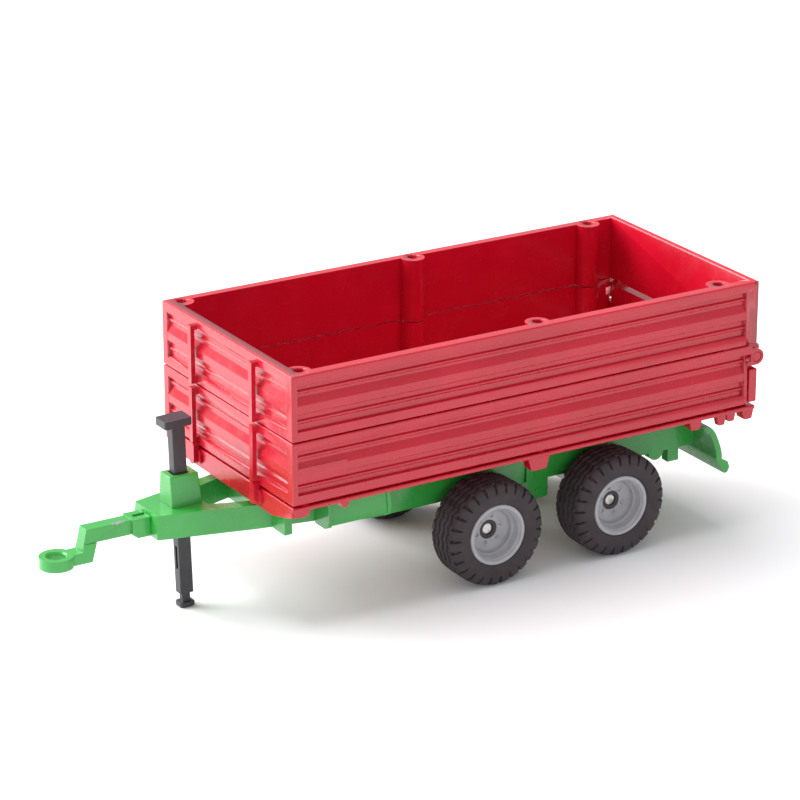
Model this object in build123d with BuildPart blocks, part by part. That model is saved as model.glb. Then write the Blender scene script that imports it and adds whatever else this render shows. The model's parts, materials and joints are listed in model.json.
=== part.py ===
from build123d import *
import math
import os

# Die-cast toy of a tandem-axle tipping farm trailer, in millimetres.
# +X points forward to the hitch, +Y to the left side, +Z up from the ground.
# The origin lies on the ground, under the middle of the overall length and width.

os.makedirs("parts", exist_ok=True)

# ---------------------------------------------------------------- driving sizes
wheel_r = 15.7
body_length = 156.0
body_width = 75.0
body_floor_z = 2 * wheel_r + 6.5   # underside of the base plate's edge
base_edge = 1.3              # height of the base plate's edge
shadow_gap = 0.7             # open joint between the base plate and the lower ring
lower_height = 18.2
upper_height = 19.1
ring_gap = 0.3               # running gap between the two rings
wall = 3.1                   # wall with its ribs
pocket_depth = 1.1           # how far the panels lie behind the flanges
edge_round = 0.45
corner_post = 1.7            # plain width at the front end of a side panel
rear_post = 4.5              # plain width at the rear end of a side panel
front_corner = 2.9           # plain width at each end of the front and rear panels

rib_span = 18.2              # ring height at which the rib heights below hold; they stay centred in any other
flange_low = 2.8             # heights up a panel, from the bottom of its ring
ridge_1 = (4.4, 5.7)
step_low = 7.0
step_face = (7.5, 9.9)
step_top = 12.2
ridge_2 = (13.0, 14.3)
flange_high = 2.7            # height of the top flange
ridge_height = 0.5
lip_proud = 0.45             # how far a side's top flange stands out past its rear post
rib_round = 0.22

boss_x = (12.1, 74.5, body_length - 4.4)   # sleeves for stacking pegs
boss_inset = 3.9             # sleeve centre behind the outer face
boss_r = 3.6
boss_hole_r = 1.5            # peg sockets in the upper ring's top
lower_hole_r = 1.3           # peg sockets in the lower ring's top
peg_play = 0.08
peg_drop = 3.0
sleeve_depth = 15.8          # depth of the upper ring's peg sockets
lower_sleeve_depth = 9.0
foot_inset = 0.9             # how far the lower ring's foot stands behind its outer face

post_y = 17.6                # two posts on the front wall
post_width = 1.8
post_reach = 1.9             # how far a post stands out in front of the wall
post_top_gap = 1.3

plate_length = 15.8          # plain name plate on the left panel of the lower ring
plate_gap = 1.5
plate_mid = 8.6
plate_height = 4.2

skirt_low_z = body_floor_z - 4.4
skirt_thick = 1.6
skirt_flat_y = body_width / 2 - 11.5   # half width of the skirt's straight lower edge
skirt_wide_y = body_width / 2 - 0.9
corner_lug_z = body_floor_z - 1.8
pad_reach = 0.7              # pad round the foot of each front post
pad_width = 6.0
foot_lug_width = 2.6         # rounded lug that carries the foot of each front post
foot_lug_z = (body_floor_z - 3.4, body_floor_z + 3.1)
lug_inset = 0.4
lug_width = 3.4
lug_taper = 0.14             # share of a lug's length that each end slopes
lug_round = 0.6
edge_lugs = (                # lugs under the side edges: rear end, front end, drop below the edge
    (0.4, 4.3, 2.8),
    (6.9, 9.9, 2.3),
    (10.3, 13.5, 2.9),
    (19.0, 23.1, 2.6),
    (72.1, 79.1, 3.7),
    (body_length - 18.0, body_length - 15.4, 1.6),
    (body_length - 5.6, body_length - 0.4, 1.8),
)
screw_r = 1.0
screw_length = 6.0
screw_head_r = 2.0
screw_head = 0.9

rim_face_y = 34.6            # outer plane of the rim ring, from the centre line
rim_r = 9.15                 # outer radius of the rim ring
bead_r = 8.2                 # radius on which the tyre sits
axle_r = 1.7
axle_play = 0.06
axle_recess = 5.9            # axle end behind the rim ring
hub_bush_r = axle_r + 1.15
front_axle_x = 87.5
rear_axle_x = 45.1

rail_out_y = 19.5
rail_thick = 3.0
rail_z = (22.8, 32.0)
rail_rear_x = 8.4
rail_front_x = body_length - 36.0
draft = 0.35                 # how far the parting line stands out of a side face
arm_z = (24.6, 31.8)
arm_out = ((body_length - 21.4, 17.2), (body_length - 2.4, 13.6), (body_length + 26.0, 6.5))
arm_in = ((body_length - 7.9, 11.2), (body_length - 1.4, 9.2), (body_length + 9.0, 5.6))
arm_split_z = 27.4           # height of the parting line
rail_step_x = (body_length - 32.0, body_length - 22.0)  # where the rail's underside rises to the drawbar arms
cross_x = (body_length - 8.5, body_length - 6.1)
cross_reach = 21.8
cross_tube_x = (31.0, 66.3, 108.0)
cross_tube = (5.0, 6.5)

hinge_x = 16.2
hinge_z = 28.6
hinge_pin_r = 1.25
hinge_play = 0.07
longeron_y = (13.2, 16.1)
longeron_z = (rail_z[1] + 0.3, body_floor_z)
longeron_front_x = body_length - 5.0
hinge_ear_r = 3.0
hinge_block = (14.2, 18.1, 18.8)   # block under each rail: rear, front, bottom
round_lug = (22.4, 2.6, 20.3)      # lug under each rail: middle, half width, bottom
pin_skin = 0.6               # metal left outside each end of the tipping hinge pin
hanger_half = 4.2            # axle hanger under each rail
hanger_low_z = wheel_r - 3.3
hanger_boss_r = 3.2
hanger_boss_y = 25.2

bracket_x = 65.1
bracket_width = 7.4
bracket_z = 17.5
bracket_out_y = 20.5
bracket_pad = (64.7, 25.3, 3.2, 4.6)   # raised pad: middle x and z, width, height
bracket_boss = (64.9, 19.7, 1.0)
pad_proud = 0.35

tongue_eye_x = body_length + 53.7
eye_r = 4.9
eye_hole_r = 2.65
tongue_z = (20.6, 23.9)
tongue_width = 5.0
tongue_arm_z = (26.1, 30.4)
tongue_arm_width = 4.3
tongue_block_width = 6.2
tongue_block_z = (24.9, 30.6)
tongue_block_x = (body_length + 26.0, body_length + 31.5)
tongue_riser_x = (tongue_eye_x - 6.9, tongue_eye_x - 9.9)   # front and rear of the riser at its foot
tongue_riser_lean = 1.5
tongue_spigot_x = body_length + 20.0
tongue_pin_x = body_length + 23.0
tongue_pin_r = 0.8
eye_chamfer = 0.5
slot_width = 1.6             # slot along the top of the tongue's wide block
slot_length = 4.0
slot_depth = 0.8

socket_x = (body_length + 10.0, body_length + 19.6)
socket_top_z = arm_z[1] + 9.0
socket_base_half = 4.1
socket_top_half = 3.1
socket_taper = 0.7

jack_x = body_length + 15.0
jack_mid_z = 28.0            # height at which the leaning leg crosses jack_x
jack_lean = 1.8              # degrees, top leaning forward
jack_column = (4.0, 3.1)
jack_bottom_z = 4.2
jack_head = (8.4, 6.0, 2.3)
jack_head_shift = 0.6        # how far the head's middle stands ahead of the column's
jack_top_z = 57.4
jack_play = 0.45
foot_height = 1.4
foot_size = (4.6, 4.0)
neck_size = (2.5, 1.9)

tail_thick = 2.8             # space that the side walls leave for the tailgate
tail_faces_x = (-0.3, 2.5)
tail_low_z = body_floor_z + 2.4
tail_pin_r = 1.5
tail_pin_play = 0.07
tail_pin_x = 0.0
tail_pin_z = body_floor_z + 16.3
tail_lip_x = 1.7             # rear end of the side wall's top flange
pin_slot_x = (2.2, 4.3)      # opening through each side wall ahead of the tailgate pin
pin_slot_z = (tail_pin_z - 1.2, tail_pin_z + 1.2)
tail_lobe_z = tail_pin_z + 3.8
tail_lobe_width = 2.6
tail_shoulder_z = tail_pin_z - 3.6
tail_ear_r = 2.4
tail_ear_width = 2.5
tail_nose_x = -3.2
tail_nose_z = (tail_pin_z - 0.9, tail_pin_z + 2.2)
tail_inner_play = 0.35
tail_panel_depth = 0.8
tail_panels = ((tail_low_z + 2.5, tail_low_z + 3.9), (tail_low_z + 4.9, tail_low_z + 7.6),
               (tail_low_z + 8.6, tail_low_z + 10.0))   # recesses across the rear face

box_x = (body_length - 38.8, body_length - 18.5)
box_out_y = 25.2
box_back_y = 17.2
box_z = (24.2, 32.4)
box_crease_z = 27.5
box_top_y = 24.3
box_flange = (1.2, 0.4)      # thickness of an end flange and how far it stands proud

guard_half = 30.0
guard_thick = 2.0
guard_line = ((10.8, 32.0), (8.7, 29.8), (7.1, 26.4), (6.1, 23.3), (5.9, 20.9))
bar_line = ((3.7, 19.6), (3.05, 17.7), (3.9, 16.1), (5.2, 16.2), (6.6, 18.7))

# ---------------------------------------------------------------- derived sizes
half_width = body_width / 2
eye_front_x = tongue_eye_x + eye_r
mid_x = (eye_front_x + tail_nose_x) / 2
base_top_z = body_floor_z + base_edge
lower_z = base_top_z + shadow_gap
upper_z = lower_z + lower_height + ring_gap
upper_top_z = upper_z + upper_height
boss_y = half_width - boss_inset
lug_y = half_width - lug_inset - lug_width / 2
skirt_top_z = body_floor_z + 0.7
wall_back = wall - pocket_depth
sides = (("left", 1), ("right", -1))
axles = (("front", front_axle_x), ("rear", rear_axle_x))


def at(x):
    """Frame X of a place that is x ahead of the body's rear face."""
    return x - mid_x


def inward_plane(x, y, inward):
    """Plane whose x runs into a wall, whose y is up and whose normal runs along the wall."""
    return Plane(origin=(x, y, 0), x_dir=(inward[0], inward[1], 0), z_dir=(inward[1], -inward[0], 0))


def panel_pocket(plane, bottom, height, length):
    """Cut one panel's ribbed pocket into the part in hand, from the plane and along its normal."""
    outside = -0.6
    back = pocket_depth
    crest = pocket_depth - ridge_height
    shift = bottom + (height - rib_span) / 2
    flange_top = bottom + height - flange_high
    with BuildSketch(plane) as pocket:
        with BuildLine():
            Polyline(
                (outside, bottom + flange_low),
                (0, bottom + flange_low),
                (back, bottom + flange_low + 0.3),
                (back, shift + ridge_1[0]),
                (crest, shift + ridge_1[0] + 0.4),
                (crest, shift + ridge_1[1] - 0.4),
                (back, shift + ridge_1[1]),
                (back, shift + step_low),
                (0.05, shift + step_face[0]),
                (0.05, shift + step_face[1]),
                (back, shift + step_top),
                (back, shift + ridge_2[0]),
                (crest, shift + ridge_2[0] + 0.4),
                (crest, shift + ridge_2[1] - 0.4),
                (back, shift + ridge_2[1]),
                (back, flange_top - 0.3),
                (0, flange_top),
                (outside, flange_top),
                close=True,
            )
        make_face()
        fillet(pocket.vertices().filter_by(lambda v: v.X > 0.01), rib_round)
    extrude(pocket.sketch, amount=length, mode=Mode.SUBTRACT)


def ring_pockets(bottom, height, rear_end, with_rear):
    """Cut the pockets of both sides, of the three front bays and, if asked, of the rear wall."""
    side_length = body_length - rear_end - corner_post
    panel_pocket(inward_plane(at(body_length - corner_post), half_width, (0, -1)), bottom, height, side_length)
    panel_pocket(inward_plane(at(rear_end), -half_width, (0, 1)), bottom, height, side_length)
    for y_low, y_high in ((half_width - lip_proud, half_width + 1.0), (-half_width - 1.0, lip_proud - half_width)):
        lip_z = bottom + height - flange_high
        slab(((at(-4.0), bottom - 1.0), (at(-4.0), bottom + height + 1.0), (at(tail_lip_x), bottom + height + 1.0),
              (at(tail_lip_x), lip_z), (at(rear_end - 0.3), lip_z), (at(rear_end - 0.3), bottom - 1.0)),
             y_low, y_high, Mode.SUBTRACT)
    front_edges = (front_corner - half_width, -post_y, post_y, half_width - front_corner)
    for start, end in zip(front_edges[:-1], front_edges[1:]):
        panel_pocket(inward_plane(at(body_length), start, (-1, 0)), bottom, height, end - start)
    if with_rear:
        span = body_width - 2 * front_corner
        panel_pocket(inward_plane(at(0), span / 2, (1, 0)), bottom, height, span)


def front_posts(bottom, top):
    """Add the two posts that stand out in front of the front wall."""
    for side in (-1, 1):
        centre_x = at(body_length) + (post_reach - wall_back) / 2
        with Locations((centre_x, side * post_y, bottom)):
            Box(post_reach + wall_back, post_width, top - bottom, align=(Align.CENTER, Align.CENTER, Align.MIN))


def sleeves(bottom, top):
    """Add the six round sleeves inside a ring."""
    with Locations(*[(at(x), side * boss_y, bottom) for x in boss_x for side in (-1, 1)]):
        Cylinder(boss_r, top - bottom, align=(Align.CENTER, Align.CENTER, Align.MIN))


def across(y):
    """Upright plane at a given y whose sketch axes are x and z; extruding goes to the right."""
    return Plane.XZ.offset(-y)


def slab(points, y_low, y_high, mode=Mode.ADD):
    """Extrude a closed side view, given as frame x and z, between two y values."""
    with BuildSketch(across(y_high)) as outline:
        with BuildLine():
            Polyline(*points, close=True)
        make_face()
    extrude(outline.sketch, amount=y_high - y_low, mode=mode)


def rod(x, z, radius, y_low, y_high, mode=Mode.ADD):
    """Add or cut a round rod that lies across the cart."""
    with BuildSketch(across(y_high)) as section:
        with Locations((x, z)):
            Circle(radius)
    extrude(section.sketch, amount=y_high - y_low, mode=mode)


def wall_ring(bottom, height, x_rear, open_rear):
    """Rounded ring of walls in the part in hand, with its rear wall left out if asked."""
    length = body_length - x_rear
    middle = at(x_rear + length / 2)
    with BuildSketch(Plane.XY.offset(bottom)) as outline:
        with Locations((middle, 0)):
            Rectangle(length, body_width)
        inner_length = length - wall if open_rear else length - 2 * wall
        inner_middle = middle - wall / 2 if open_rear else middle
        with Locations((inner_middle, 0)):
            Rectangle(inner_length, body_width - 2 * wall, mode=Mode.SUBTRACT)
    extrude(outline.sketch, amount=height)


def outer_edges(part, x_rear):
    """Edges of a ring that lie on its outer side faces and its front face."""
    on_side = lambda e: abs(e.center().Y) > half_width - 0.1
    on_end = lambda e: e.center().X > at(body_length) - 0.1 or e.center().X < at(x_rear) + 0.1
    return part.edges().filter_by(lambda e: on_side(e) or on_end(e))


# ---------------------------------------------------------------- upper ring
with BuildPart() as upper_ring:
    wall_ring(upper_z, upper_height, 0, False)
    fillet(outer_edges(upper_ring, 0), edge_round)
    sleeves(upper_z, upper_top_z)
    front_posts(upper_z + edge_round, upper_top_z - post_top_gap)
    ring_pockets(upper_z, upper_height, rear_post, True)
    for x in boss_x:
        for side in (-1, 1):
            with Locations((at(x), side * boss_y, upper_top_z)):
                Hole(boss_hole_r, sleeve_depth)
            with Locations((at(x), side * boss_y, upper_z + 1.0)):
                Cylinder(lower_hole_r - peg_play, peg_drop + 1.0, align=(Align.CENTER, Align.CENTER, Align.MAX))
upper_ring.part.label = "upper_ring"
export_step(upper_ring.part, "parts/upper_ring.step")

# ---------------------------------------------------------------- lower ring
lower_top_z = lower_z + lower_height
ear_inner_y = half_width - tail_ear_width
with BuildPart() as lower_ring:
    wall_ring(lower_z, lower_height, tail_thick, True)
    side_edges = lower_ring.edges().filter_by(lambda e: abs(e.center().Y) > half_width - 0.1
                                              or e.center().X > at(body_length) - 0.1)
    fillet(side_edges, edge_round)
    with BuildSketch(Plane.XY.offset(base_top_z)):
        foot_length = body_length - tail_thick - foot_inset
        with Locations((at(tail_thick + foot_length / 2), 0)):
            Rectangle(foot_length, body_width - 2 * foot_inset)
        with Locations((at(tail_thick + (foot_length - wall + foot_inset) / 2), 0)):
            Rectangle(foot_length - wall + foot_inset, body_width - 2 * wall, mode=Mode.SUBTRACT)
    extrude(amount=shadow_gap + edge_round)
    sleeves(base_top_z, lower_top_z)
    front_posts(foot_lug_z[1] + 0.2, lower_top_z - edge_round)
    ring_pockets(lower_z, lower_height, rear_post, False)
    for y_low, y_high in ((ear_inner_y, half_width), (-half_width, -ear_inner_y)):
        rod(at(tail_pin_x), tail_pin_z, tail_ear_r, y_low, y_high)
        ear = ((at(tail_pin_x), tail_pin_z - tail_ear_r), (at(tail_thick) + 0.6, tail_pin_z - tail_ear_r),
               (at(tail_thick) + 0.6, lower_top_z), (at(tail_lip_x), lower_top_z),
               (at(tail_lip_x), tail_pin_z + tail_ear_r), (at(tail_pin_x), tail_pin_z + tail_ear_r))
        slab(ear, y_low, y_high)
        rod(at(tail_pin_x), tail_pin_z, tail_pin_r + tail_pin_play, y_low, y_high, Mode.SUBTRACT)
        slot_low, slot_high = (y_low - wall, y_high + 1.0) if y_low > 0 else (y_low - 1.0, y_high + wall)
        slab([(at(x), z) for x, z in ((pin_slot_x[0], pin_slot_z[0]), (pin_slot_x[0], pin_slot_z[1]),
                                      (pin_slot_x[1], pin_slot_z[1]), (pin_slot_x[1], pin_slot_z[0]))],
             slot_low, slot_high, Mode.SUBTRACT)
    with Locations(*[(at(x), side * boss_y, lower_top_z) for x in boss_x for side in (-1, 1)]):
        Hole(lower_hole_r, lower_sleeve_depth)
    with Locations(*[(at(x), side * boss_y, base_top_z) for x in boss_x for side in (-1, 1)]):
        Cylinder(screw_r, screw_length, align=(Align.CENTER, Align.CENTER, Align.MIN), mode=Mode.SUBTRACT)
    with BuildSketch(across(half_width - 0.05)) as name_plate:
        with Locations((at(body_length - plate_gap - plate_length / 2), lower_z + plate_mid)):
            RectangleRounded(plate_length, plate_height, 0.4)
    extrude(amount=pocket_depth)
lower_ring.part.label = "lower_ring"
export_step(lower_ring.part, "parts/lower_ring.step")

# ---------------------------------------------------------------- base plate
with BuildPart() as base_plate:
    with BuildSketch(Plane.XY.offset(body_floor_z)):
        with Locations((at(body_length / 2), 0)):
            Rectangle(body_length, body_width)
    extrude(amount=base_edge)
    fillet(base_plate.edges(), edge_round)
    with BuildSketch(Plane.YZ.offset(at(body_length))):
        with BuildLine():
            Polyline((-skirt_wide_y, skirt_top_z), (-skirt_wide_y, corner_lug_z), (-skirt_flat_y, skirt_low_z),
                     (skirt_flat_y, skirt_low_z), (skirt_wide_y, corner_lug_z), (skirt_wide_y, skirt_top_z), close=True)
        make_face()
    extrude(amount=-skirt_thick)
    for side in (-1, 1):
        with BuildSketch(Plane.YZ.offset(at(body_length))):
            with Locations((side * post_y, sum(foot_lug_z) / 2)):
                RectangleRounded(foot_lug_width, foot_lug_z[1] - foot_lug_z[0], foot_lug_width / 2 - 0.2)
        extrude(amount=post_reach)
        with BuildSketch(Plane.YZ.offset(at(body_length))):
            with Locations((side * post_y, (foot_lug_z[0] + base_top_z) / 2)):
                RectangleRounded(pad_width, base_top_z - foot_lug_z[0] - 0.4, 1.3)
        extrude(amount=pad_reach)
        for x_low, x_high, drop in edge_lugs:
            z_low = body_floor_z - drop
            flank = (x_high - x_low) * lug_taper
            with BuildSketch(across(side * lug_y + lug_width / 2)) as lug:
                with BuildLine():
                    Polyline((at(x_low), body_floor_z + 0.5), (at(x_low), body_floor_z - 0.3),
                             (at(x_low) + flank, z_low), (at(x_high) - flank, z_low),
                             (at(x_high), body_floor_z - 0.3), (at(x_high), body_floor_z + 0.5), close=True)
                make_face()
                fillet(lug.vertices().group_by(Axis.Y)[0], lug_round)
            extrude(amount=lug_width)
    with Locations(*[(at(x), side * boss_y, body_floor_z) for x in boss_x for side in (-1, 1)]):
        Cylinder(screw_r, base_edge, align=(Align.CENTER, Align.CENTER, Align.MIN), mode=Mode.SUBTRACT)
        Cylinder(screw_head_r + 0.2, 5.0, align=(Align.CENTER, Align.CENTER, Align.MAX), mode=Mode.SUBTRACT)
base_plate.part.label = "base_plate"
export_step(base_plate.part, "parts/base_plate.step")

with BuildPart() as base_screws:
    with Locations(*[(at(x), side * boss_y, body_floor_z) for x in boss_x for side in (-1, 1)]):
        Cylinder(screw_head_r, screw_head, align=(Align.CENTER, Align.CENTER, Align.MAX))
        Cylinder(screw_r - 0.05, base_edge + screw_length - 0.3, align=(Align.CENTER, Align.CENTER, Align.MIN))
    with Locations(*[(at(x), side * boss_y, body_floor_z - screw_head) for x in boss_x for side in (-1, 1)]):
        Box(0.5, 2 * screw_head_r, 0.8, align=Align.CENTER, mode=Mode.SUBTRACT)
base_screws.part.label = "base_screws"
export_step(base_screws.part, "parts/base_screws.step")

# ---------------------------------------------------------------- tipping rails under the body
for name, side in sides:
    y_low, y_high = sorted((side * longeron_y[0], side * longeron_y[1]))
    with BuildPart() as tipping_rail:
        ear_x = at(hinge_x)
        slab(((ear_x - hinge_ear_r, hinge_z), (ear_x + 1.0, longeron_z[1]), (at(longeron_front_x), longeron_z[1]),
              (at(longeron_front_x), longeron_z[0]), (ear_x + 2 * hinge_ear_r, longeron_z[0]),
              (ear_x + hinge_ear_r, hinge_z)), y_low, y_high)
        rod(ear_x, hinge_z, hinge_ear_r, y_low, y_high)
        rod(ear_x, hinge_z, hinge_pin_r + hinge_play, y_low, y_high, Mode.SUBTRACT)
    tipping_rail.part.label = "tipping_rail_" + name
    export_step(tipping_rail.part, "parts/tipping_rail_" + name + ".step")

with BuildPart() as hinge_pin:
    rod(at(hinge_x), hinge_z, hinge_pin_r, pin_skin - rail_out_y, rail_out_y - pin_skin)
hinge_pin.part.label = "tipping_hinge_pin"
export_step(hinge_pin.part, "parts/tipping_hinge_pin.step")

# ---------------------------------------------------------------- tailgate
lobe_low = half_width - wall - tail_inner_play - tail_lobe_width
lobe_high = half_width - wall - tail_inner_play
with BuildPart() as tailgate:
    rear_x, front_x = (at(x) for x in tail_faces_x)
    pin_x = at(tail_pin_x)
    slab(((rear_x, tail_low_z), (rear_x, tail_shoulder_z), (front_x, tail_shoulder_z), (front_x, tail_low_z)),
         -half_width, half_width)
    fillet(tailgate.edges(), edge_round)
    slab(((rear_x, tail_shoulder_z - 1.0), (rear_x, tail_nose_z[0] - 1.2), (at(tail_nose_x), tail_nose_z[0]),
          (at(tail_nose_x), tail_nose_z[1] - 1.4), (at(tail_nose_x) + 1.4, tail_nose_z[1]),
          (front_x, tail_nose_z[1]), (front_x, tail_shoulder_z - 1.0)), -lobe_high, lobe_high)
    for y_low, y_high in ((lobe_low, lobe_high), (-lobe_high, -lobe_low)):
        rod(pin_x, tail_pin_z, tail_lobe_z - tail_pin_z, y_low, y_high)
        slab(((at(tail_nose_x) - 1.0, tail_low_z), (at(tail_nose_x) - 1.0, tail_lobe_z), (at(tail_nose_x), tail_lobe_z),
              (at(tail_nose_x), tail_low_z)), y_low, y_high, Mode.SUBTRACT)
        slab(((front_x, tail_low_z + 1.0), (front_x, tail_lobe_z + 0.1), (front_x + 2.0, tail_lobe_z + 0.1),
              (front_x + 2.0, tail_low_z + 1.0)), y_low, y_high, Mode.SUBTRACT)
    panel_width = body_width - 2 * front_corner
    for z_low, z_high in tail_panels:
        with Locations((rear_x, 0, (z_low + z_high) / 2)):
            Box(2 * tail_panel_depth, panel_width, z_high - z_low, mode=Mode.SUBTRACT)
    for y_low, y_high in ((lobe_low, lobe_high), (-lobe_high, -lobe_low)):
        rod(pin_x, tail_pin_z, tail_pin_r, y_low, y_high, Mode.SUBTRACT)
tailgate.part.label = "tailgate"
export_step(tailgate.part, "parts/tailgate.step")

with BuildPart() as tailgate_pins:
    rod(pin_x, tail_pin_z, tail_pin_r, lobe_low, half_width - 0.1)
    rod(pin_x, tail_pin_z, tail_pin_r, 0.1 - half_width, -lobe_low)
tailgate_pins.part.label = "tailgate_pins"
export_step(tailgate_pins.part, "parts/tailgate_pins.step")

# ---------------------------------------------------------------- drawbar tongue
with BuildPart() as drawbar_tongue:
    lean_x = tongue_riser_x[1] - tongue_riser_lean
    slab(((at(tongue_eye_x), tongue_z[0]), (at(tongue_riser_x[1]), tongue_z[0]), (at(lean_x), tongue_arm_z[0]),
          (at(tongue_spigot_x), tongue_arm_z[0]), (at(tongue_spigot_x), tongue_arm_z[1]),
          (at(tongue_riser_x[0] - tongue_riser_lean), tongue_arm_z[1]), (at(tongue_riser_x[0]), tongue_z[1]),
          (at(tongue_eye_x), tongue_z[1])), -tongue_arm_width / 2, tongue_arm_width / 2)
    slab(((at(tongue_eye_x), tongue_z[0]), (at(tongue_riser_x[1]), tongue_z[0]), (at(lean_x), tongue_arm_z[0]),
          (at(tongue_riser_x[0]) - 0.7, tongue_arm_z[0]), (at(tongue_riser_x[0]), tongue_z[1]),
          (at(tongue_eye_x), tongue_z[1])), -tongue_width / 2, tongue_width / 2)
    slab(((at(tongue_block_x[0]), tongue_block_z[0]), (at(tongue_block_x[0]), tongue_block_z[1]),
          (at(tongue_block_x[1]), tongue_block_z[1]), (at(tongue_block_x[1]), tongue_arm_z[0]),
          (at(tongue_block_x[1]) - 1.6, tongue_block_z[0])), -tongue_block_width / 2, tongue_block_width / 2)
    with Locations((at(tongue_eye_x), 0, tongue_z[0])):
        Cylinder(eye_r, tongue_z[1] - tongue_z[0], align=(Align.CENTER, Align.CENTER, Align.MIN))
        Cylinder(eye_hole_r, tongue_z[1] - tongue_z[0], align=(Align.CENTER, Align.CENTER, Align.MIN),
                 mode=Mode.SUBTRACT)
    rims = drawbar_tongue.edges().filter_by(GeomType.CIRCLE).filter_by(lambda e: e.radius < eye_hole_r + 0.1)
    chamfer(rims, eye_chamfer)
    with Locations((at(tongue_block_x[0]), 0, tongue_block_z[1])):
        Box(slot_length, slot_width, 2 * slot_depth, align=(Align.MIN, Align.CENTER, Align.CENTER), mode=Mode.SUBTRACT)
    with Locations((at(tongue_pin_x), 0, tongue_arm_z[0])):
        Cylinder(tongue_pin_r, 10.0, mode=Mode.SUBTRACT)
drawbar_tongue.part.label = "drawbar_tongue"
export_step(drawbar_tongue.part, "parts/drawbar_tongue.step")

# ---------------------------------------------------------------- chassis
jack_plane = Plane(origin=(at(jack_x), 0, jack_mid_z),
                   x_dir=(math.cos(math.radians(jack_lean)), 0, -math.sin(math.radians(jack_lean))),
                   z_dir=(math.sin(math.radians(jack_lean)), 0, math.cos(math.radians(jack_lean))))
taper_angle = math.degrees(math.atan2(draft, rail_z[1] - arm_split_z))
outer_line = ((rail_rear_x, rail_out_y), (rail_front_x, rail_out_y)) + arm_out
inner_line = ((rail_rear_x, rail_out_y - rail_thick), (rail_front_x, rail_out_y - rail_thick)) + arm_in
with BuildPart() as chassis_frame:
    with BuildSketch(Plane.XY.offset(arm_split_z)) as plan:
        with BuildLine():
            Polyline(*[(at(x), y + draft) for x, y in outer_line],
                     *[(at(x), -y - draft) for x, y in reversed(outer_line)], close=True)
        make_face()
        with BuildLine():
            Polyline(*[(at(x), y) for x, y in inner_line],
                     *[(at(x), -y) for x, y in reversed(inner_line)], close=True)
        make_face(mode=Mode.SUBTRACT)
    extrude(amount=arm_split_z - rail_z[1], taper=taper_angle)
    mirror(about=Plane.XY.offset(arm_split_z))
    slab(((at(rail_rear_x), rail_z[0]), (at(rail_rear_x), rail_z[1]), (at(rail_front_x), rail_z[1]),
          (at(rail_front_x) + 6.0, arm_z[1]), (at(arm_out[-1][0]), arm_z[1]), (at(arm_out[-1][0]), arm_z[0]),
          (at(rail_step_x[1]), arm_z[0]), (at(rail_step_x[0]), rail_z[0])), -half_width, half_width, Mode.INTERSECT)
    with Locations((at(sum(cross_x) / 2), 0, (arm_z[0] + rail_z[1]) / 2)):
        Box(cross_x[1] - cross_x[0], 2 * cross_reach, rail_z[1] - arm_z[0])
    for x in cross_tube_x:
        with Locations((at(x), 0, rail_z[1] - 1.5)):
            Box(cross_tube[0], 2 * (rail_out_y - rail_thick) + 1.0, cross_tube[1],
                align=(Align.CENTER, Align.CENTER, Align.MAX))
    for y_low, y_high in ((rail_out_y - rail_thick, rail_out_y), (-rail_out_y, rail_thick - rail_out_y)):
        slab(((at(hinge_block[0]), hinge_block[2]), (at(hinge_block[0]), rail_z[0] + 1.0),
              (at(hinge_block[1]), rail_z[0] + 1.0), (at(hinge_block[1]), hinge_block[2])), y_low, y_high)
        rod(at(round_lug[0]), round_lug[2] + round_lug[1], round_lug[1], y_low, y_high)
        for name, x in axles:
            slab(((at(x) - hanger_half - 2.5, rail_z[0] + 1.0), (at(x) - hanger_half, rail_z[0] - 2.5),
                  (at(x) - hanger_half, wheel_r - 1.5), (at(x) - hanger_half + 2.0, hanger_low_z),
                  (at(x) + hanger_half - 2.0, hanger_low_z), (at(x) + hanger_half, wheel_r - 1.5),
                  (at(x) + hanger_half, rail_z[0] - 2.5), (at(x) + hanger_half + 2.5, rail_z[0] + 1.0)), y_low, y_high)
    for name, x in axles:
        for y_low, y_high in ((rail_out_y - 1.0, hanger_boss_y), (-hanger_boss_y, 1.0 - rail_out_y)):
            rod(at(x), wheel_r, hanger_boss_r, y_low, y_high)
        rod(at(x), wheel_r, axle_r, -half_width, half_width, Mode.SUBTRACT)
    rod(at(hinge_x), hinge_z, hinge_pin_r, pin_skin - rail_out_y, rail_out_y - pin_skin, Mode.SUBTRACT)
    add(drawbar_tongue.part, mode=Mode.SUBTRACT)
    with Locations((at(tongue_pin_x), 0, arm_z[0])):
        Cylinder(tongue_pin_r, tongue_arm_z[1] - arm_z[0] + 0.7, align=(Align.CENTER, Align.CENTER, Align.MIN),
                 mode=Mode.SUBTRACT)
    with Locations(jack_plane):
        Box(jack_column[0] + 2 * jack_play, jack_column[1] + 2 * jack_play, 20.0, mode=Mode.SUBTRACT)
chassis_frame.part.label = "chassis_frame"
export_step(chassis_frame.part, "parts/chassis_frame.step")

with BuildPart() as tongue_pin:
    with Locations((at(tongue_pin_x), 0, arm_z[0] - 0.5)):
        Cylinder(tongue_pin_r, tongue_arm_z[1] - arm_z[0] + 1.0, align=(Align.CENTER, Align.CENTER, Align.MIN))
        Cylinder(tongue_pin_r + 0.6, 0.5, align=(Align.CENTER, Align.CENTER, Align.MIN))
tongue_pin.part.label = "tongue_pin"
export_step(tongue_pin.part, "parts/tongue_pin.step")

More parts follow.
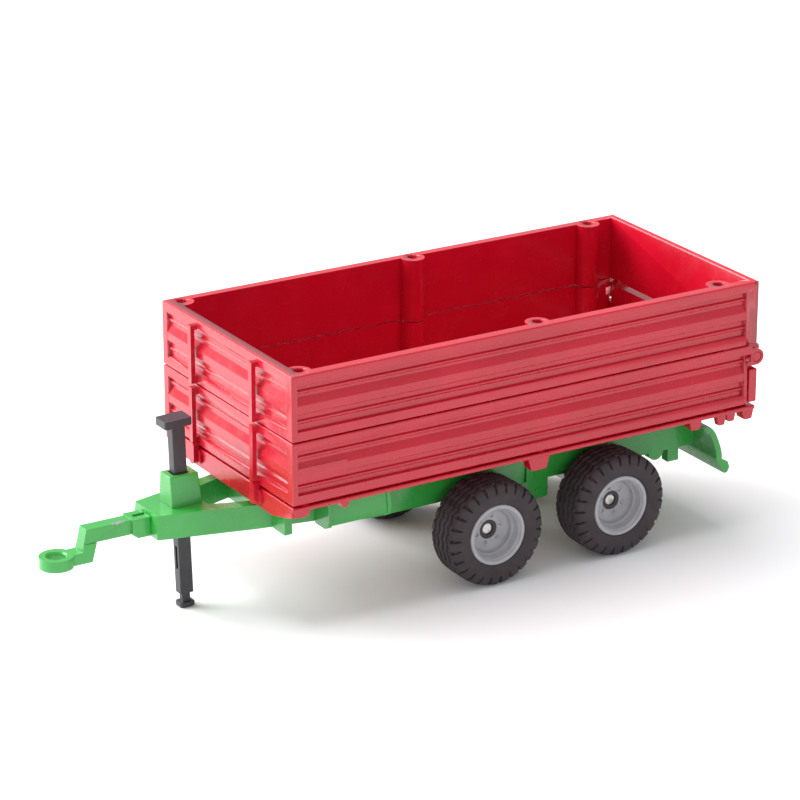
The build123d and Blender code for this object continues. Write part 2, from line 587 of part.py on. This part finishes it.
with BuildPart() as jack_socket:
    base_middle = at(sum(socket_x) / 2)
    with BuildSketch(Plane.XY.offset(arm_z[1])):
        with Locations((base_middle, 0)):
            Rectangle(socket_x[1] - socket_x[0], 2 * socket_base_half)
    with BuildSketch(Plane.XY.offset(socket_top_z)):
        with Locations((base_middle + socket_taper / 2, 0)):
            Rectangle(socket_x[1] - socket_x[0] - socket_taper, 2 * socket_top_half)
    loft()
    fillet(jack_socket.edges().filter_by(lambda e: e.center().Z > arm_z[1] + 0.1), 0.4)
    with Locations(jack_plane):
        Box(jack_column[0] + 2 * jack_play, jack_column[1] + 2 * jack_play, 40.0, mode=Mode.SUBTRACT)
jack_socket.part.label = "jack_socket"
export_step(jack_socket.part, "parts/jack_socket.step")

for name, side in sides:
    with BuildPart() as spring_bracket:
        plate_low, plate_high = sorted((side * (rail_out_y + draft + 0.01), side * bracket_out_y))
        with BuildSketch(across(plate_high)) as outline:
            with Locations((at(bracket_x), (bracket_z + rail_z[1]) / 2)):
                Rectangle(bracket_width, rail_z[1] - bracket_z)
            fillet(outline.vertices().group_by(Axis.Y)[0], 0.8)
        extrude(amount=plate_high - plate_low)
        foot_low, foot_high = sorted((side * (rail_out_y - rail_thick), side * (bracket_out_y - 0.2)))
        with BuildSketch(across(foot_high)) as foot_outline:
            with Locations((at(bracket_x), (bracket_z + rail_z[0]) / 2)):
                Rectangle(bracket_width, rail_z[0] - bracket_z)
            fillet(foot_outline.vertices().group_by(Axis.Y)[0], 0.8)
        extrude(amount=foot_high - foot_low)
        pad_low, pad_high = sorted((side * (bracket_out_y - 0.2), side * (bracket_out_y + pad_proud)))
        with BuildSketch(across(pad_high)) as pad:
            with Locations((at(bracket_pad[0]), bracket_pad[1])):
                RectangleRounded(bracket_pad[2], bracket_pad[3], 1.0)
            with Locations((at(bracket_boss[0]), bracket_boss[1])):
                Circle(bracket_boss[2])
        extrude(amount=pad_high - pad_low)
    spring_bracket.part.label = "spring_bracket_" + name
    export_step(spring_bracket.part, "parts/spring_bracket_" + name + ".step")

with BuildPart() as tool_box:
    for x_low, x_high, proud in ((box_x[0], box_x[1], 0.0), (box_x[0], box_x[0] + box_flange[0], box_flange[1]),
                                 (box_x[1] - box_flange[0], box_x[1], box_flange[1])):
        with BuildSketch(Plane.YZ.offset(at(x_low))) as section:
            with BuildLine():
                Polyline((box_back_y, box_z[0] - proud + 0.4), (box_out_y - 2.6, box_z[0] - proud + 0.4),
                         (box_out_y - 0.9, box_z[0] + 1.2 - proud), (box_out_y + proud - 0.4, box_crease_z),
                         (box_top_y + proud - 0.4, box_z[1]), (box_back_y, box_z[1]), close=True)
            make_face()
        extrude(amount=x_high - x_low)
    add(chassis_frame.part, mode=Mode.SUBTRACT)
tool_box.part.label = "tool_box"
export_step(tool_box.part, "parts/tool_box.step")

with BuildPart() as rear_guard:
    with BuildSketch(across(guard_half)):
        with BuildLine():
            outside = [(at(x), z) for x, z in guard_line]
            inside = [(x + guard_thick, z) for x, z in reversed(outside)]
            Spline(*outside)
            Polyline(outside[-1], *[(at(x), z) for x, z in bar_line], inside[0])
            Spline(*inside)
            Line(inside[-1], outside[0])
        make_face()
    extrude(amount=2 * guard_half)
    fillet(rear_guard.edges().filter_by(Axis.Y).filter_by(lambda e: e.center().Z < guard_line[-1][1] - 1.0), 0.6)
    for y in (-sum(longeron_y) / 2, sum(longeron_y) / 2):
        with Locations((at(guard_line[0][0]), y, guard_line[0][1])):
            Box(6.0, longeron_y[1] - longeron_y[0] + 1.0, 5.0, mode=Mode.SUBTRACT)
    add(chassis_frame.part, mode=Mode.SUBTRACT)
rear_guard.part.label = "rear_guard"
export_step(rear_guard.part, "parts/rear_guard.step")

# ---------------------------------------------------------------- wheels
tread_r = wheel_r
tyre_section = ((-5.6, bead_r), (-6.3, bead_r + 1.4), (-6.6, tread_r - 4.3), (-6.2, tread_r - 2.3),
                (-5.1, tread_r - 0.7), (-4.3, tread_r - 0.15), (0, tread_r), (4.3, tread_r - 0.15),
                (5.1, tread_r - 0.7), (6.2, tread_r - 2.3), (6.6, tread_r - 4.3), (6.4, rim_r + 0.85), (5.9, rim_r),
                (4.6, rim_r), (4.6, bead_r))
rim_section = ((0.8, hub_bush_r), (0.8, 6.1), (1.5, 6.5), (4.0, 7.4), (5.8, 7.86), (6.0, 8.0), (6.0, rim_r - 0.15),
               (5.85, rim_r), (4.6, rim_r), (4.6, bead_r), (-5.6, bead_r), (-5.6, 7.2), (-1.2, 6.4), (-0.9, 4.2),
               (-3.0, 4.0), (-3.0, hub_bush_r))
bush_section = ((0.5, axle_r + axle_play), (0.5, hub_bush_r), (-3.0, hub_bush_r), (-3.0, axle_r + axle_play))
wheel_mid_y = rim_face_y - 6.0


def spun(section, side, x):
    """Turn a wheel section, given as distance outwards and radius, about its axle."""
    with BuildSketch(Plane.YZ.offset(at(x))) as half:
        with BuildLine():
            Polyline(*[(side * (wheel_mid_y + out), wheel_r + r) for out, r in section], close=True)
        make_face()
    revolve(half.sketch, axis=Axis((at(x), 0, wheel_r), (0, 1, 0)))


for axle_name, axle_x in axles:
    for side_name, side in sides:
        place = axle_name + "_" + side_name
        with BuildPart() as tyre:
            spun(tyre_section, side, axle_x)
        tyre.part.label = "tyre_" + place
        export_step(tyre.part, "parts/tyre_" + place + ".step")
        with BuildPart() as rim:
            spun(rim_section, side, axle_x)
        rim.part.label = "rim_" + place
        export_step(rim.part, "parts/rim_" + place + ".step")
        with BuildPart() as hub_bush:
            spun(bush_section, side, axle_x)
        hub_bush.part.label = "hub_bush_" + place
        export_step(hub_bush.part, "parts/hub_bush_" + place + ".step")
    with BuildPart() as axle:
        rod(at(axle_x), wheel_r, axle_r, axle_recess - rim_face_y, rim_face_y - axle_recess)
        chamfer(axle.edges().filter_by(GeomType.CIRCLE), 0.25)
    axle.part.label = "axle_" + axle_name
    export_step(axle.part, "parts/axle_" + axle_name + ".step")

# ---------------------------------------------------------------- jack
with BuildPart() as jack_leg:
    column_low = jack_bottom_z - jack_mid_z
    head_top = jack_top_z - jack_mid_z
    with Locations(jack_plane.offset(column_low)):
        Box(jack_column[0], jack_column[1], head_top - column_low, align=(Align.CENTER, Align.CENTER, Align.MIN))
    with BuildSketch(jack_plane.offset(head_top)) as head:
        with Locations((jack_head_shift, 0)):
            Rectangle(jack_head[0], jack_head[1])
        fillet(head.vertices(), 0.5)
    extrude(amount=-jack_head[2])
    with Locations(jack_plane.offset(15.1 - jack_mid_z)):
        with Locations((jack_column[0] / 2, 0, 0)):
            Box(2.4, 1.1, 7.0, mode=Mode.SUBTRACT)
jack_leg.part.label = "jack_leg"
export_step(jack_leg.part, "parts/jack_leg.step")

with BuildPart() as jack_foot:
    with BuildSketch(jack_plane.offset(column_low)) as neck:
        Rectangle(neck_size[0], neck_size[1])
    extrude(amount=-(jack_bottom_z - foot_height))
    with BuildSketch(jack_plane.offset(column_low - (jack_bottom_z - foot_height - 0.1))) as foot:
        RectangleRounded(foot_size[0], foot_size[1], 0.9)
    extrude(amount=-foot_height)
    fillet(jack_foot.edges().filter_by(lambda e: e.center().Z < 0.6), 0.3)
jack_foot.part.label = "jack_foot"
export_step(jack_foot.part, "parts/jack_foot.step")
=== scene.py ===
"""A die-cast toy tipping farm trailer: red two-tier body, green chassis, four rubber tyres, drawbar and jack.

Everything is in metres in the frame of the CAD part: +X forward, +Y to the left side, +Z up from the ground.
"""

import math

import bmesh
import bpy
import numpy as np
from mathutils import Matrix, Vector
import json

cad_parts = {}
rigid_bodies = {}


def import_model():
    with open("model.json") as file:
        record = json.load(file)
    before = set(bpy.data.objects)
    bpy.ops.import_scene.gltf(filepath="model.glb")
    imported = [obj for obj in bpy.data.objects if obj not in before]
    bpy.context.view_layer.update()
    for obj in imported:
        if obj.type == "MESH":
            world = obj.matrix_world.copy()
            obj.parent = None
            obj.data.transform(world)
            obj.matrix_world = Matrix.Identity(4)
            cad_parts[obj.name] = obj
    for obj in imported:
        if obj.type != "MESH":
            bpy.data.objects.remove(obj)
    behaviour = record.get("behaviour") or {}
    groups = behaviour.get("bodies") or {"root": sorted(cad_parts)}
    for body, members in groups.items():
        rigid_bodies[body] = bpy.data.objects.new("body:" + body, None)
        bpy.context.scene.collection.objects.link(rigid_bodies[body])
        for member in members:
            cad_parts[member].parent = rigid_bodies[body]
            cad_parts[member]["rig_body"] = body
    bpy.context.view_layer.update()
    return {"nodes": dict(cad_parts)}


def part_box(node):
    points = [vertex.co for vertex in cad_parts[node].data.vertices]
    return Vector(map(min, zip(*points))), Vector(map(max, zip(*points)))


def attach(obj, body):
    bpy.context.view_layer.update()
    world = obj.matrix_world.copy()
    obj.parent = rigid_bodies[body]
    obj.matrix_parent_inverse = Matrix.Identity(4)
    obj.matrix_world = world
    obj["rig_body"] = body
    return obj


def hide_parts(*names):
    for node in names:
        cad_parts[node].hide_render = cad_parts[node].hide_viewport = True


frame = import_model()
MM = 0.001


# ------------------------------------------------------------------ shader maths
class Signal:
    """A value on a material's node tree that can be used in a sum, a difference or a product."""

    def __init__(self, socket, paint):
        self.socket = socket
        self.paint = paint

    def math(self, operation, other, swap=False):
        pair = [other, self] if swap else [self, other]
        return self.paint.node("ShaderNodeMath", {"operation": operation}, {0: pair[0], 1: pair[1]})

    def __add__(self, other):
        return self.math("ADD", other)

    __radd__ = __add__

    def __sub__(self, other):
        return self.math("SUBTRACT", other)

    def __rsub__(self, other):
        return self.math("SUBTRACT", other, swap=True)

    def __mul__(self, other):
        return self.math("MULTIPLY", other)

    __rmul__ = __mul__


class Paint:
    """One procedural material: a Principled shader and the nodes that feed it."""

    def __init__(self, name):
        self.material = bpy.data.materials.new(name)
        self.material.use_nodes = True
        self.tree = self.material.node_tree
        self.shader = self.tree.nodes["Principled BSDF"]

    def node(self, kind, settings=None, sockets=None, out=0):
        """Add a node, set its settings first, then the values or links of its sockets; return one output."""
        made = self.tree.nodes.new(kind)
        for key, value in (settings or {}).items():
            setattr(made, key, value)
        for key, value in (sockets or {}).items():
            if isinstance(value, Signal):
                self.tree.links.new(value.socket, made.inputs[key])
            else:
                made.inputs[key].default_value = value
        return Signal(made.outputs[out], self)

    def place(self):
        """Object coordinates, in metres."""
        return self.node("ShaderNodeTexCoord", out="Object")

    def grain(self, scale, detail=2.0, rough=0.5):
        """Noise between 0 and 1 with features of about 1 / scale metres."""
        return self.node("ShaderNodeTexNoise", None, {"Vector": self.place(), "Scale": scale, "Detail": detail,
                                                      "Roughness": rough}, out="Fac")

    def spread(self, value, low, high):
        """Map a value from a range to 0 to 1, smoothly and with clamping."""
        return self.node("ShaderNodeMapRange", {"interpolation_type": "SMOOTHSTEP"},
                         {"Value": value, "From Min": low, "From Max": high, "To Min": 0.0, "To Max": 1.0})

    def blend(self, amount, one, two):
        """Mix two colours by an amount."""
        one = one if isinstance(one, Signal) else (*one, 1)
        two = two if isinstance(two, Signal) else (*two, 1)
        return self.node("ShaderNodeMix", {"data_type": "RGBA"}, {0: amount, 6: one, 7: two}, out=2)

    def finish(self, colour, rough, bump=None, bump_height=0.00002, **constants):
        """Feed colour, roughness and bump to the shader and set its other sockets to fixed values."""
        for key, value in (("Base Color", colour), ("Roughness", rough)):
            if isinstance(value, Signal):
                self.tree.links.new(value.socket, self.shader.inputs[key])
            else:
                self.shader.inputs[key].default_value = (*value, 1) if key == "Base Color" else value
        if bump is not None:
            relief = self.node("ShaderNodeBump", None, {"Strength": 1.0, "Distance": bump_height, "Height": bump},
                               out="Normal")
            self.tree.links.new(relief.socket, self.shader.inputs["Normal"])
        for key, value in constants.items():
            socket = self.shader.inputs[key.replace("_", " ").title().replace("Ior", "IOR")]
            if isinstance(value, Signal):
                self.tree.links.new(value.socket, socket)
            else:
                socket.default_value = value
        return self.material


def enamel(name, deep, lit, chip_at=None):
    """Glossy enamel on cast metal: thin and thick patches of paint, fine ripple, small pits, and an optional chip."""
    paint = Paint(name)
    cloud = paint.spread(paint.grain(45, 3.0), 0.35, 0.7)
    colour = paint.blend(cloud, deep, lit)
    ripple = paint.grain(900, 2.0, 0.6)
    pits = paint.spread(paint.grain(2600, 1.0), 0.66, 0.8)
    rough = 0.2 + 0.1 * paint.spread(paint.grain(160, 3.0), 0.3, 0.75) + 0.1 * pits
    relief = ripple * 0.8 - pits * 0.5
    if chip_at is None:
        return paint.finish(colour, rough, relief, 0.00002, coat_weight=0.35, coat_roughness=0.12, ior=1.5)
    from_chip = paint.node("ShaderNodeVectorMath", {"operation": "SUBTRACT"}, {0: paint.place(), 1: chip_at})
    slimmed = paint.node("ShaderNodeVectorMath", {"operation": "MULTIPLY"}, {0: from_chip, 1: (0.45, 1.25, 1.0)})
    away = paint.node("ShaderNodeVectorMath", {"operation": "LENGTH"}, {0: slimmed}, out="Value")
    ragged = away + (paint.grain(1500, 3.0) - 0.5) * 0.0018
    chip = 1 - paint.spread(ragged, 0.0007, 0.0009)
    colour = paint.blend(chip, colour, (0.42, 0.43, 0.44))
    return paint.finish(colour, rough + 0.2 * chip, relief - 2.0 * chip, 0.00002, coat_weight=0.35 - 0.35 * chip,
                        coat_roughness=0.12, metallic=chip * 0.8)


def rubber(name):
    """Soft dark tyre rubber: brown-grey, with a faint bloom and a fine grain."""
    paint = Paint(name)
    bloom = paint.spread(paint.grain(220, 4.0, 0.6), 0.35, 0.75)
    colour = paint.blend(bloom, (0.040, 0.029, 0.033), (0.062, 0.047, 0.052))
    return paint.finish(colour, 0.62 + 0.14 * bloom, paint.grain(2200, 3.0, 0.7), 0.00004, specular_ior_level=0.4)


def moulded(name, dark, light, rough, wave=0.00002):
    """Moulded plastic: nearly even colour, satin, with a little flow waviness."""
    paint = Paint(name)
    flow = paint.spread(paint.grain(260, 3.0), 0.3, 0.7)
    colour = paint.blend(flow, dark, light)
    return paint.finish(colour, rough + 0.1 * flow, paint.grain(1300, 3.0, 0.6), wave)


def cut_steel(name):
    """Bright cut steel with faint turning marks."""
    paint = Paint(name)
    marks = paint.grain(3000, 2.0)
    colour = paint.blend(marks, (0.78, 0.76, 0.70), (0.95, 0.92, 0.85))
    return paint.finish(colour, 0.38 + 0.15 * marks, marks, 0.00001, metallic=0.6)


eye_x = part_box("drawbar_tongue")[1].x
CHIP = (eye_x - 0.0233, 0.0016, 0.0304)
red = enamel("red_enamel", (0.51, 0.003, 0.019), (0.58, 0.005, 0.025))
green = enamel("green_enamel", (0.030, 0.32, 0.048), (0.040, 0.38, 0.058))
green_chipped = enamel("green_enamel_chipped", (0.030, 0.32, 0.048), (0.040, 0.38, 0.058),
                       chip_at=CHIP)
tyre_rubber = rubber("tyre_rubber")
rim_plastic = moulded("rim_plastic", (0.38, 0.37, 0.395), (0.43, 0.42, 0.445), 0.33)
# Charcoal plastic for the jack leg and foot. On the hub bushes the same dark colour is painted shade: it stands in
# for the shadowed hole round each axle end.
charcoal_and_painted_hub_shade = moulded("charcoal_plastic", (0.030, 0.026, 0.031), (0.042, 0.037, 0.043), 0.36, 0.00003)
steel = cut_steel("cut_steel")


# ------------------------------------------------------------------ pieces from the CAD solids
MERGE_WITHIN = 2e-6
FLAT_DEGREES = 1.0
SHARP_DEGREES = 38
CREASE_DEGREES = 32
WHEEL_CREASE_DEGREES = 50


def softened(node, material, edge=0.0):
    """A copy of a CAD node with its triangles joined, its sharp edges rounded and its curved faces shaded smooth."""
    source = frame["nodes"][node]
    body = source["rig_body"]
    mesh = source.data.copy()
    mesh.name = node + "_finish"
    work = bmesh.new()
    work.from_mesh(mesh)
    bmesh.ops.remove_doubles(work, verts=work.verts, dist=MERGE_WITHIN)
    if edge:
        bmesh.ops.dissolve_limit(work, angle_limit=math.radians(FLAT_DEGREES), verts=work.verts, edges=work.edges)
        sharp = [e for e in work.edges if len(e.link_faces) == 2
                 and e.calc_face_angle(0) > math.radians(SHARP_DEGREES)]
        bmesh.ops.bevel(work, geom=sharp, offset=edge, segments=3, profile=0.6, affect="EDGES", clamp_overlap=True)
        bmesh.ops.triangulate(work, faces=[f for f in work.faces if len(f.verts) > 4])
    work.to_mesh(mesh)
    work.free()
    mesh.materials.clear()
    mesh.materials.append(material)
    mesh.shade_smooth()
    mesh.set_sharp_from_angle(angle=math.radians(CREASE_DEGREES))
    piece = bpy.data.objects.new(node + "_finish", mesh)
    bpy.context.scene.collection.objects.link(piece)
    flatten = piece.modifiers.new("flat_faces", "WEIGHTED_NORMAL")
    flatten.keep_sharp, flatten.weight = True, 100
    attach(piece, body)
    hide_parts(node)
    return piece


for node in ("upper_ring", "lower_ring"):
    softened(node, red)
for node, edge in (("base_plate", 0.00025), ("tailgate", 0.0002), ("tipping_rail_left", 0.0003),
                   ("tipping_rail_right", 0.0003), ("tailgate_pins", 0.0002)):
    softened(node, red, edge)
for node, edge in (("chassis_frame", 0.0003), ("jack_socket", 0.00015), ("tool_box", 0.0003), ("rear_guard", 0.0003),
                   ("spring_bracket_left", 0.0002), ("spring_bracket_right", 0.0002)):
    softened(node, green, edge)
softened("drawbar_tongue", green_chipped, 0.0003)
for node, edge in (("axle_front", 0.0), ("axle_rear", 0.0), ("tipping_hinge_pin", 0.0001), ("tongue_pin", 0.0001),
                   ("base_screws", 0.0001)):
    softened(node, steel, edge)
for node in ("jack_leg", "jack_foot"):
    softened(node, charcoal_and_painted_hub_shade, 0.00028)


# ------------------------------------------------------------------ wheels
def ring_mesh(name, out, radius, x, side, material, body):
    """Closed ring of quads: rows run along the section, columns run round the axle.

    A point lies out * side from the middle plane along Y and at its radius from the axle, at angle a:
    X is x + radius cos a and Z is the axle's height + radius sin a.
    """
    rows, columns = radius.shape
    angle = np.linspace(0, 2 * np.pi, columns, endpoint=False)
    points = np.stack([x + radius * np.cos(angle), side * out, WHEEL_R + radius * np.sin(angle)], axis=-1)
    index = np.arange(rows * columns).reshape(rows, columns)
    below, beside = np.roll(index, -1, axis=0), np.roll(index, -1, axis=1)
    quads = np.stack([index, beside, np.roll(below, -1, axis=1), below], axis=-1).reshape(-1, 4)
    if side > 0:
        quads = quads[:, ::-1]
    mesh = bpy.data.meshes.new(name)
    mesh.from_pydata((points.reshape(-1, 3) * MM).tolist(), [], quads.tolist())
    mesh.validate()
    work = bmesh.new()
    work.from_mesh(mesh)
    bmesh.ops.recalc_face_normals(work, faces=work.faces)
    work.to_mesh(mesh)
    work.free()
    mesh.materials.append(material)
    mesh.shade_smooth()
    mesh.set_sharp_from_angle(angle=math.radians(WHEEL_CREASE_DEGREES))
    piece = bpy.data.objects.new(name, mesh)
    bpy.context.scene.collection.objects.link(piece)
    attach(piece, body)
    return piece


def along(points, step, ease=0.0):
    """Points every step along a closed section, rounded by averaging over a length of twice ease."""
    loop = np.array(points + points[:1], float)
    reach = np.concatenate([[0], np.cumsum(np.hypot(*np.diff(loop, axis=0).T))])
    count = int(reach[-1] / step)
    at = np.linspace(0, reach[-1], count, endpoint=False)
    section = np.stack([np.interp(at, reach, loop[:, 0]), np.interp(at, reach, loop[:, 1])], axis=-1)
    span = int(ease / step)
    if span:
        section = sum(np.roll(section, k, axis=0) for k in range(-span, span + 1)) / (2 * span + 1)
    return section


def smooth(value):
    """0 below 0, 1 above 1, eased between."""
    value = np.clip(value, 0, 1)
    return value * value * (3 - 2 * value)


WHEEL_R = 15.7
WHEEL_Y = 28.6
SLOTS = 26
TYRE_COLUMNS = 24 * SLOTS
RIM_COLUMNS = 240
GROOVE_ROWS = (-3.3, -1.15, 1.15, 3.3)
GROOVE_WAVE = 0.34
GROOVE_DEPTH = 1.0
SLOT_DEPTH = 1.1
DIMPLE_CIRCLE = 4.05
DIMPLE_DEPTH = 0.55
DIMPLES = 6
TYRE_LINE = [(-5.6, 8.2), (-5.9, 9.2), (-6.35, 10.0), (-6.6, 11.5), (-6.55, 12.6), (-6.1, 14.2), (-5.4, 15.2),
             (-4.4, 15.62), (-2.0, 15.7), (2.0, 15.7), (4.4, 15.62), (5.4, 15.2), (6.1, 14.2), (6.55, 12.6),
             (6.6, 11.5), (6.35, 10.0), (5.9, 9.15), (4.6, 9.15), (4.6, 8.2)]
RIM_LINE = [(0.8, 2.85), (0.8, 6.0), (1.05, 6.25), (1.6, 6.5), (2.6, 6.6), (2.9, 7.0), (4.0, 7.35), (5.0, 7.5),
            (5.3, 7.86), (5.85, 7.95), (6.0, 8.1), (6.0, 8.95), (5.85, 9.12), (5.2, 9.15), (4.6, 9.15), (4.6, 8.2),
            (-5.6, 8.2), (-5.6, 7.2), (-1.2, 6.4), (-0.9, 4.2), (-3.0, 4.0), (-3.0, 2.85)]


def tyre(x, side, body, node, turn):
    """A tyre: its section carried round the axle, less four zigzag grooves and a ring of slots on each shoulder.

    A groove's middle is its row plus a triangle wave of the angle; it is at full depth to 0.25 mm from its middle and
    gone at 0.55 mm. A slot is a narrow dip halfway round each step of the angle, on the shoulder only, and its half
    width grows from 0.12 mm at a radius of 12 mm to 0.54 mm at 15 mm.
    """
    section = along(TYRE_LINE, 0.3, 0.4)
    angle = np.linspace(0, 2 * np.pi, TYRE_COLUMNS, endpoint=False)[None, :] + turn
    out, radius = section[:, :1], section[:, 1:]
    phase = angle * SLOTS / (2 * np.pi)
    zigzag = GROOVE_WAVE * (4 * np.abs(phase % 1 - 0.5) - 1)
    tread = smooth((radius - 15.0) / 0.4)
    rows = [smooth((0.55 - np.abs(out - row - zigzag)) / 0.3) for row in GROOVE_ROWS]
    groove = GROOVE_DEPTH * np.max(rows, axis=0) * tread
    step = np.abs((phase % 1) - 0.5) * 2 * np.pi * radius / SLOTS
    shoulder = smooth((np.abs(out) - 4.2) / 0.5) * smooth((radius - 12.3) / 1.4)
    half = 0.12 + 0.42 * np.clip((radius - 12) / 3, 0, 1)
    slot = SLOT_DEPTH * smooth((half - step) / 0.2) * shoulder
    inward = slot * np.clip((np.abs(out) - 4.0) / 2.6, 0, 1)
    piece = ring_mesh(node + "_rubber", WHEEL_Y + out - np.sign(out) * inward * 0.8 + 0 * angle,
                      radius - np.maximum(groove, slot * tread) - slot * (1 - tread) * 0.35, x, side, tyre_rubber,
                      body)
    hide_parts(node)


def rim(x, side, body, node, turn):
    """A rim: its stepped section carried round the axle, less six dimples on the disc, on a circle of 4.05 mm.

    A dimple is at full depth to 0.40 mm from its middle and gone at 0.68 mm.
    """
    section = along(RIM_LINE, 0.2, 0.2)
    angle = np.linspace(0, 2 * np.pi, RIM_COLUMNS, endpoint=False)[None, :]
    out, radius = section[:, :1], section[:, 1:]
    apart = (angle - turn + np.pi / DIMPLES) % (2 * np.pi / DIMPLES) - np.pi / DIMPLES
    away = np.sqrt(np.maximum(radius ** 2 + DIMPLE_CIRCLE ** 2 - 2 * radius * DIMPLE_CIRCLE * np.cos(apart), 0))
    dimple = DIMPLE_DEPTH * smooth((0.68 - away) / 0.28) * (out > 0.4)
    piece = ring_mesh(node + "_moulding", WHEEL_Y + out - dimple, radius + 0 * angle, x, side, rim_plastic,
                      body)
    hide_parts(node)


for axle, turn in (("front", math.radians(45)), ("rear", math.radians(17))):
    lowest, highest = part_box("axle_" + axle)
    axle_x = (lowest.x + highest.x) / 2 / MM
    for side_name, side in (("left", 1), ("right", -1)):
        wheel = f"wheel_{axle}_{side_name}"
        place = f"{axle}_{side_name}"
        tyre(axle_x, side, wheel, "tyre_" + place, turn)
        rim(axle_x, side, wheel, "rim_" + place, turn)
        # Painted shade: the hub bush is charcoal so that it stands in for the shadowed wall of the rim's hub hole
        # round the axle end.
        softened("hub_bush_" + place, charcoal_and_painted_hub_shade)


# ------------------------------------------------------------------ studio
def floor():
    """A plain pale sheet, flat under the trailer."""
    mesh = bpy.data.meshes.new("studio_floor")
    corners = np.array([(-6, -6, 0), (6, -6, 0), (6, 6, 0), (-6, 6, 0)], float)
    mesh.from_pydata(corners.tolist(), [], [(0, 1, 2, 3)])
    paper = Paint("studio_paper")
    mesh.materials.append(paper.finish((0.95, 0.965, 0.975), 0.9))
    sheet = bpy.data.objects.new("studio_floor", mesh)
    bpy.context.scene.collection.objects.link(sheet)


def lamp(name, place, aim, size, power, colour=(1, 1, 1)):
    """A square soft lamp at a place, turned to its aim."""
    data = bpy.data.lights.new(name, "AREA")
    data.shape, data.size, data.energy, data.color = "SQUARE", size, power, colour
    light = bpy.data.objects.new(name, data)
    light.location = place
    light.rotation_euler = (Vector(aim) - Vector(place)).to_track_quat("-Z", "Y").to_euler()
    bpy.context.scene.collection.objects.link(light)


BODY_MIDDLE = (0.0, 0.0, 0.04)
floor()
lamp("window_back", (0.6, -0.75, 0.75), BODY_MIDDLE, 0.8, 13)
lamp("window_low", (0.95, -0.6, 0.4), (0.0, 0.0, 0.05), 0.6, 6)
lamp("window_top", (0.0, -0.1, 1.0), BODY_MIDDLE, 0.7, 6.5)
lamp("fill_left", (0.2, 1.1, 0.5), BODY_MIDDLE, 0.9, 1.2)
world = bpy.data.worlds.new("studio_air")
world.use_nodes = True
world.node_tree.nodes["Background"].inputs["Color"].default_value = (0.95, 0.98, 1.0, 1)
world.node_tree.nodes["Background"].inputs["Strength"].default_value = 0.62
bpy.context.scene.world = world
bpy.context.scene.view_settings.view_transform = "Standard"

# The camera stands where the photograph was taken from and looks at the middle of the picture. The photograph's own
# lens was shifted far to one side and down, which kept the trailer's side upright and level; this one isn't shifted.
camera_data = bpy.data.cameras.new("camera")
camera_data.lens = 160
camera_data.clip_start, camera_data.clip_end = 0.01, 100
camera = bpy.data.objects.new("camera", camera_data)
camera.location = (0.48972, 0.81803, 0.40788)
look_at = Vector((-0.0065, 0.0, 0.048))
camera.rotation_euler = (look_at - camera.location).to_track_quat("-Z", "Y").to_euler()
bpy.context.scene.collection.objects.link(camera)
bpy.context.scene.camera = camera
